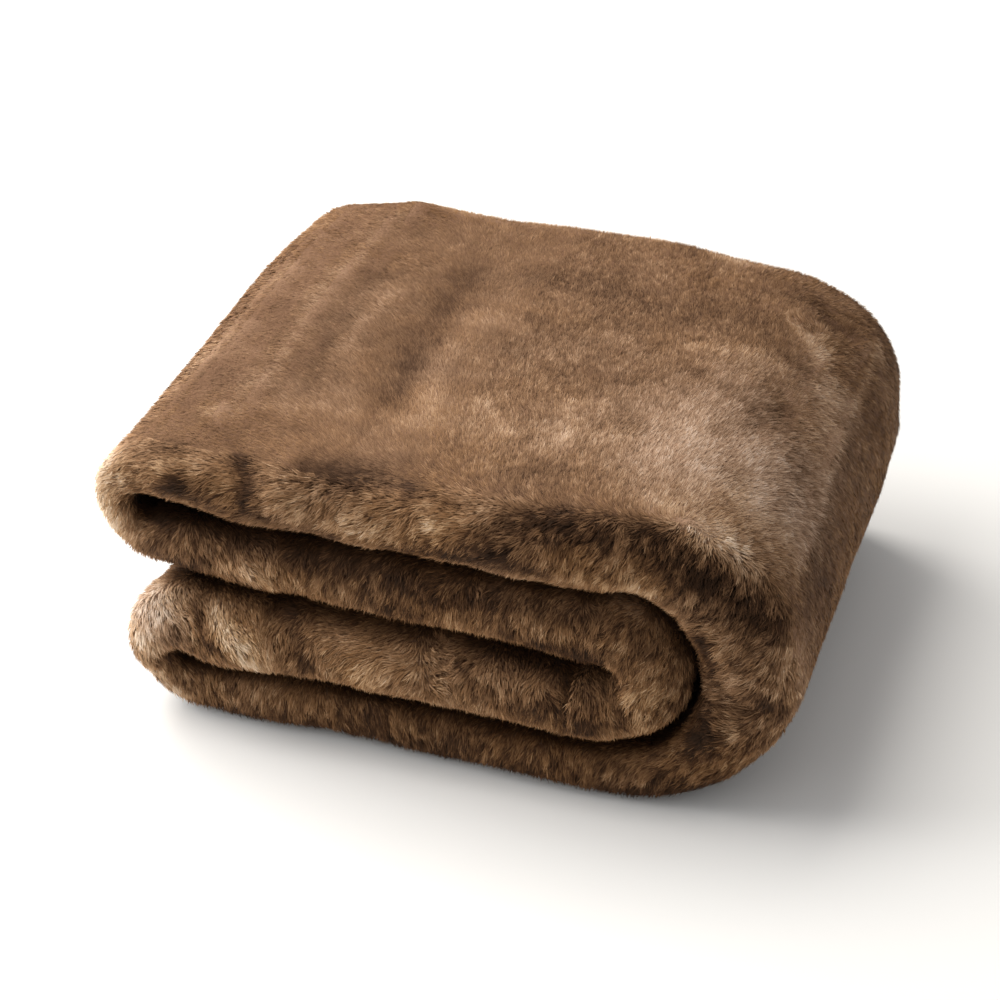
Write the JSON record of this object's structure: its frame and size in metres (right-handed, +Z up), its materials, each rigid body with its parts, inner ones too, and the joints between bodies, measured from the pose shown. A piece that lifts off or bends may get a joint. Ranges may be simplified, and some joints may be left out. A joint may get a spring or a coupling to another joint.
{
  "type": "folded faux fur throw",
  "caption": "Long-pile fur-like throw folded lengthwise and then across into a thick soft pack, with a rounded spine on one side and a short end curled in between its layers.",
  "frame": {"origin": "under the middle of the folded pack, on the surface that it lies on", "axes": "+X along the front towards the rounded spine, +Y from the front folds to the back, +Z up"},
  "size_m": [0.4876, 0.4114, 0.2309],
  "materials": {
    "fur": "dense brushed pile, matt with a soft sheen on the tips"
  },
  "bodies": {
    "root": {"throw": "fur"}
  },
  "joints": []
}
